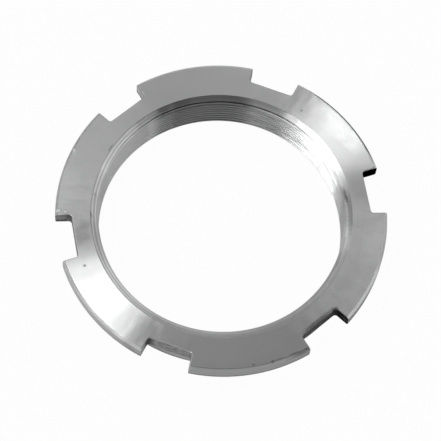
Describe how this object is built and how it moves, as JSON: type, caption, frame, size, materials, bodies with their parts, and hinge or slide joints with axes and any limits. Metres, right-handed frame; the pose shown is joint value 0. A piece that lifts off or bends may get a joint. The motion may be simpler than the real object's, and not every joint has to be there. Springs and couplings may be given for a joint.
{
  "type": "slotted axle nut",
  "caption": "Flat steel ring nut with a fine internal thread, a slotted flange for a lugged socket and a hub that seats on a bearing.",
  "frame": {"origin": "on the nut's axis, at the back face of its hub, which it lies on", "axes": "+Z along the thread's axis, out of the slotted front face; +X through the middle of one slot"},
  "size_m": [0.0978, 0.099, 0.015],
  "materials": {
    "turned_steel": "fine-turned bright steel"
  },
  "bodies": {
    "root": {"slotted_nut": "turned_steel"}
  },
  "joints": []
}
